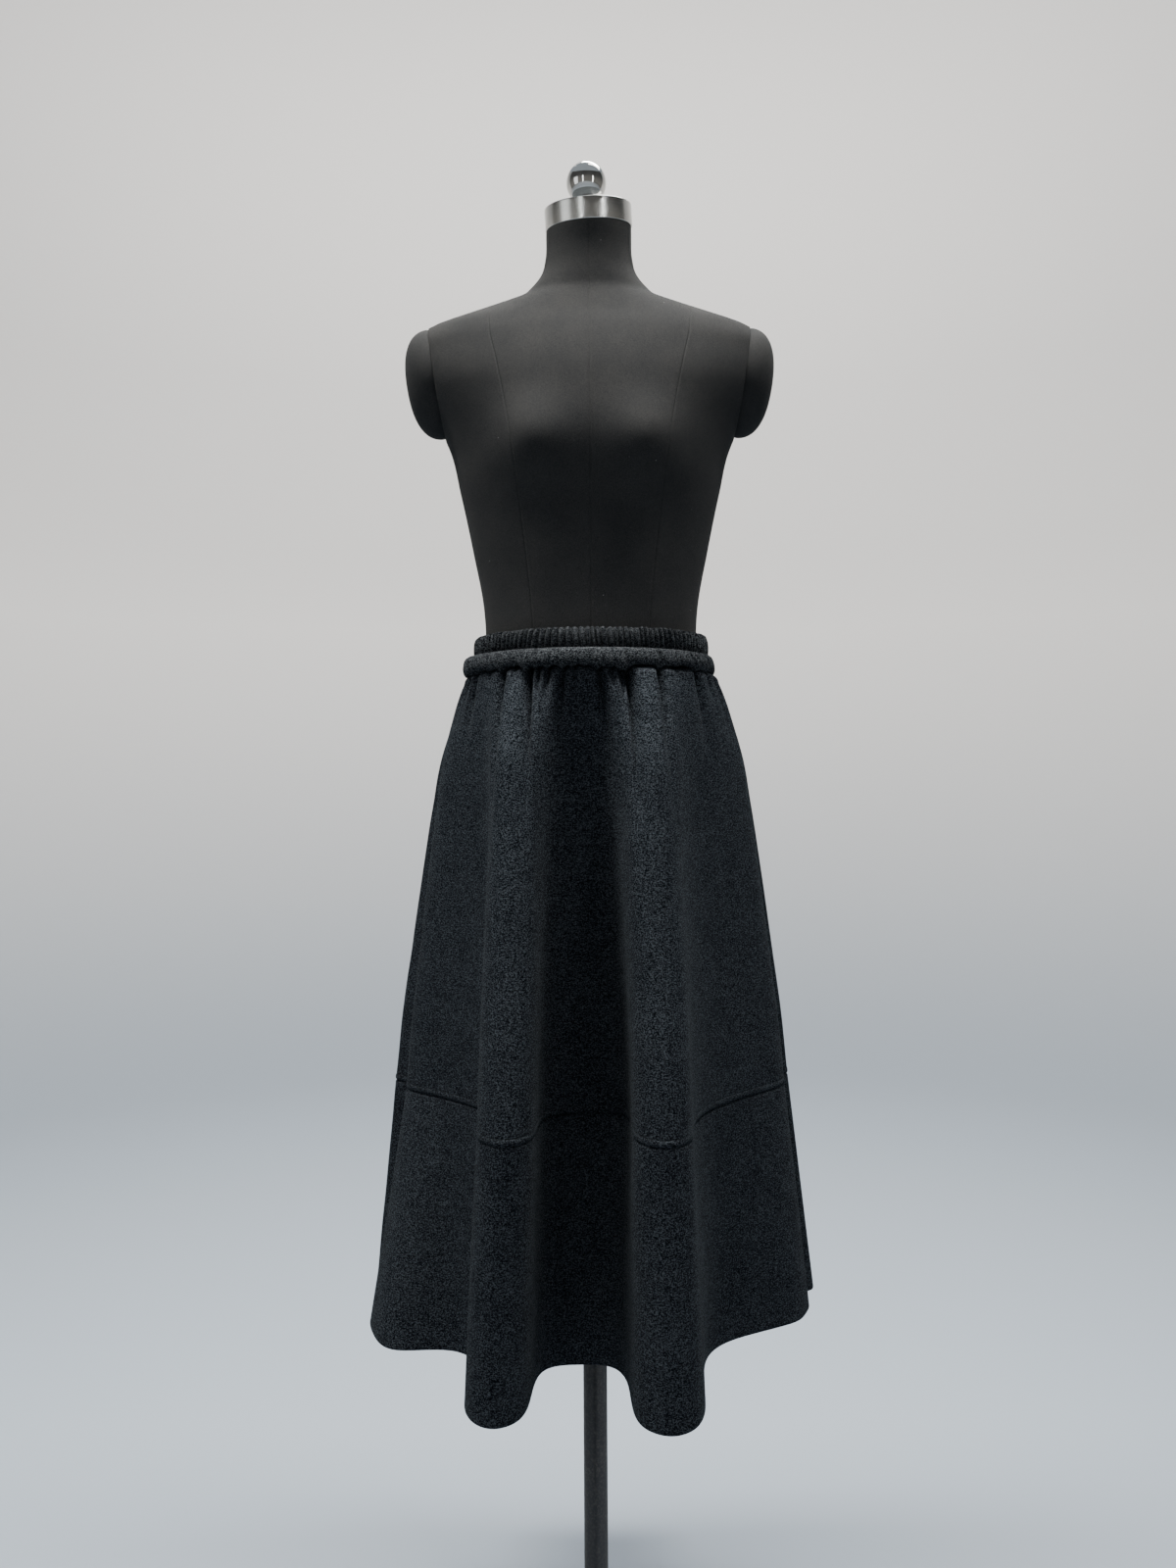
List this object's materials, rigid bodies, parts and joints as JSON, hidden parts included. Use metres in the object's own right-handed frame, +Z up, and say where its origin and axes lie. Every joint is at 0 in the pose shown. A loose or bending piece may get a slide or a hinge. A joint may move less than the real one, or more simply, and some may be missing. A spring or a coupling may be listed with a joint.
{
  "type": "flared midi skirt on a dress form",
  "caption": "Gathered, flared wool midi skirt with an elastic waistband and a seamed hem tier, worn by a limbless dress form on a pole and round base.",
  "frame": {"origin": "centre of the base plate's underside, on the floor", "axes": "+Z up along the pole, -Y to the skirt's front, +X to the picture's right"},
  "size_m": [0.5123, 0.4487, 1.6747],
  "materials": {
    "charcoal_wool": "charcoal melange wool knit with a short brushed nap",
    "form_cloth": "tight black jersey over the padded form",
    "brushed_steel": "steel brushed along the axis",
    "polished_steel": "polished steel",
    "black_paint": "black satin paint"
  },
  "bodies": {
    "root": {"waistband_casing": "charcoal_wool", "waistband_roll": "charcoal_wool", "front_panel": "charcoal_wool", "back_panel": "charcoal_wool", "front_hem_panel": "charcoal_wool", "back_hem_panel": "charcoal_wool", "torso": "form_cloth", "arm_cap_left": "form_cloth", "arm_cap_right": "form_cloth", "neck_cap": "brushed_steel", "finial": "polished_steel", "pole": "black_paint", "base_plate": "black_paint"}
  },
  "joints": []
}
